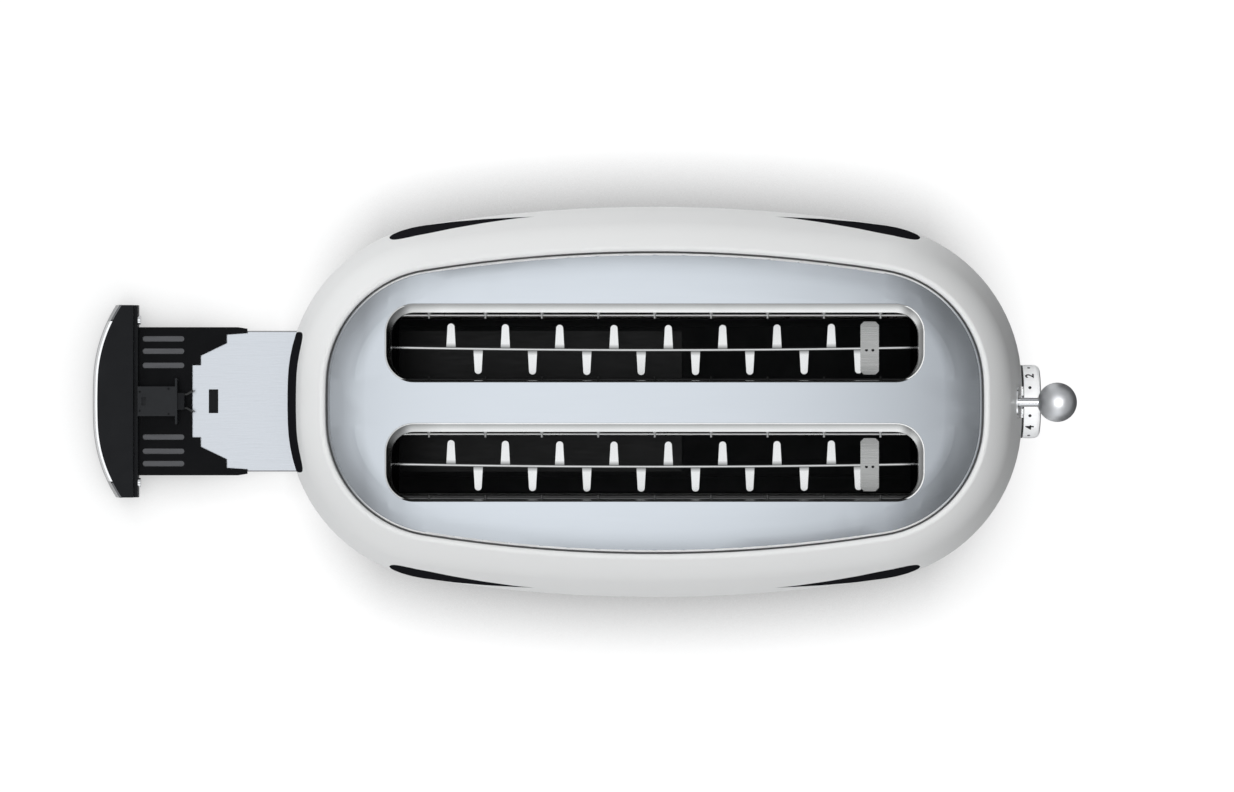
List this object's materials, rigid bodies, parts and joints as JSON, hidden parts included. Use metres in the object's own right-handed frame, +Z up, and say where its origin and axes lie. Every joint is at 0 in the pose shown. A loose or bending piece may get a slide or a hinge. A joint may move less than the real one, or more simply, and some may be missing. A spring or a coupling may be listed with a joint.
{
  "type": "toaster",
  "caption": "Long oval toaster with two slots, a ball lever over a browning dial, round buttons and a crumb tray pulled out at the rear end.",
  "frame": {"origin": "on the resting plane, at the middle of the footprint box with the crumb tray pulled out", "axes": "+X towards the control end, +Y towards the right as seen facing the controls, +Z up"},
  "size_m": [0.5308, 0.2092, 0.215],
  "materials": {
    "painted_white": "gloss",
    "brushed_panel": "brushed",
    "bright_steel": "bright",
    "zinc_steel": "satin",
    "chrome": "polished",
    "satin_metal": "satin",
    "black_plastic": "matte",
    "black_rubber": "matte",
    "mica": "satin",
    "heating_alloy": "oxidised",
    "copper_winding": "enamelled",
    "green_board": "satin",
    "brass": "satin"
  },
  "bodies": {
    "body": {"base_band": "chrome", "base_screws": "zinc_steel", "base_tub": "black_plastic", "board_standoffs": "brass", "body_shell": "painted_white", "browning_potentiometer": "zinc_steel", "button_bezels": "chrome", "button_switches": "black_plastic", "centre_divider": "bright_steel", "circuit_board": "green_board", "cord_gland": "black_rubber", "electromagnet": "copper_winding", "front_chassis_plate": "zinc_steel", "guide_rods": "chrome", "heating_ribbon_left_inner": "heating_alloy", "heating_ribbon_left_outer": "heating_alloy", "heating_ribbon_right_inner": "heating_alloy", "heating_ribbon_right_outer": "heating_alloy", "lever_slot_trim": "chrome", "mica_board_left_inner": "mica", "mica_board_left_outer": "mica", "mica_board_right_inner": "mica", "mica_board_right_outer": "mica", "panel_support_ring": "black_plastic", "rear_chassis_plate": "zinc_steel", "rubber_feet": "black_rubber", "side_reflector_left": "bright_steel", "side_reflector_right": "bright_steel", "slot_liner_left": "bright_steel", "slot_liner_right": "bright_steel", "top_panel": "brushed_panel", "tray_latch_striker": "zinc_steel"},
    "carriage": {"carriage": "zinc_steel", "bread_rack_right": "bright_steel", "bread_rack_left": "bright_steel", "rack_cross_plate_right": "bright_steel", "rack_cross_plate_left": "bright_steel", "magnet_armature": "zinc_steel", "lever_arm": "zinc_steel", "lever_stem": "chrome", "lever_ball": "chrome", "carriage_spring": "bright_steel"},
    "dial": {"browning_dial": "satin_metal", "dial_shaft": "bright_steel"},
    "reheat": {"reheat_button": "satin_metal"},
    "defrost": {"defrost_button": "satin_metal"},
    "bagel": {"bagel_button": "satin_metal"},
    "crumb_tray": {"crumb_tray_plate": "brushed_panel", "crumb_tray_frame": "black_plastic", "crumb_tray_front": "black_plastic", "crumb_tray_front_band": "chrome", "crumb_tray_band_screws": "chrome", "tray_latch_housing": "black_plastic"},
    "tray_latch": {"tray_latch_plunger": "black_plastic", "tray_latch_claws": "bright_steel"},
    "grid_right_outer": {"bread_grid_right_outer": "bright_steel"},
    "grid_right_inner": {"bread_grid_right_inner": "bright_steel"},
    "grid_left_inner": {"bread_grid_left_inner": "bright_steel"},
    "grid_left_outer": {"bread_grid_left_outer": "bright_steel"}
  },
  "joints": [
    {"name": "lever_slide", "type": "slide", "parent": "body", "child": "carriage", "axis": [0, 0, -1], "range_m": [0, 0.062], "stiffness_N_per_m": 60, "springref_m": -0.12, "deforming": ["carriage_spring"]},
    {"name": "browning_turn", "type": "hinge", "parent": "body", "child": "dial", "pos_m": [0.24382, 0, 0.062], "axis": [-1, 0, 0], "range_deg": [-90, 135]},
    {"name": "tray_slide", "type": "slide", "parent": "body", "child": "crumb_tray", "axis": [1, 0, 0], "range_m": [-0.17, 0.118]},
    {"name": "tray_latch_push", "type": "slide", "parent": "crumb_tray", "child": "tray_latch", "axis": [-1, 0, 0], "range_m": [0, 0.004], "stiffness_N_per_m": 600, "springref_m": -0.002},
    {"name": "reheat_press", "type": "slide", "parent": "body", "child": "reheat", "axis": [-1, 0, 0], "range_m": [0, 0.0015], "stiffness_N_per_m": 800, "springref_m": -0.001},
    {"name": "defrost_press", "type": "slide", "parent": "body", "child": "defrost", "axis": [-1, 0, 0], "range_m": [0, 0.0015], "stiffness_N_per_m": 800, "springref_m": -0.001},
    {"name": "bagel_press", "type": "slide", "parent": "body", "child": "bagel", "axis": [-1, 0, 0], "range_m": [0, 0.0015], "stiffness_N_per_m": 800, "springref_m": -0.001},
    {"name": "grid_right_outer_tilt", "type": "hinge", "parent": "body", "child": "grid_right_outer", "pos_m": [0.04383, 0.04535, 0.072], "axis": [1, 0, 0], "range_deg": [0, 3.01]},
    {"name": "grid_right_inner_tilt", "type": "hinge", "parent": "body", "child": "grid_right_inner", "pos_m": [0.04383, 0.01175, 0.072], "axis": [-1, 0, 0], "range_deg": [0, 3.01]},
    {"name": "grid_left_inner_tilt", "type": "hinge", "parent": "body", "child": "grid_left_inner", "pos_m": [0.04383, -0.01625, 0.072], "axis": [1, 0, 0], "range_deg": [0, 3.01]},
    {"name": "grid_left_outer_tilt", "type": "hinge", "parent": "body", "child": "grid_left_outer", "pos_m": [0.04383, -0.04985, 0.072], "axis": [-1, 0, 0], "range_deg": [0, 3.01]}
  ],
  "couplings": [
    {"joint": "grid_right_outer_tilt", "follows": "lever_slide", "rad_per_m": 0.8445},
    {"joint": "grid_right_inner_tilt", "follows": "lever_slide", "rad_per_m": 0.8445},
    {"joint": "grid_left_inner_tilt", "follows": "lever_slide", "rad_per_m": 0.8445},
    {"joint": "grid_left_outer_tilt", "follows": "lever_slide", "rad_per_m": 0.8445}
  ]
}
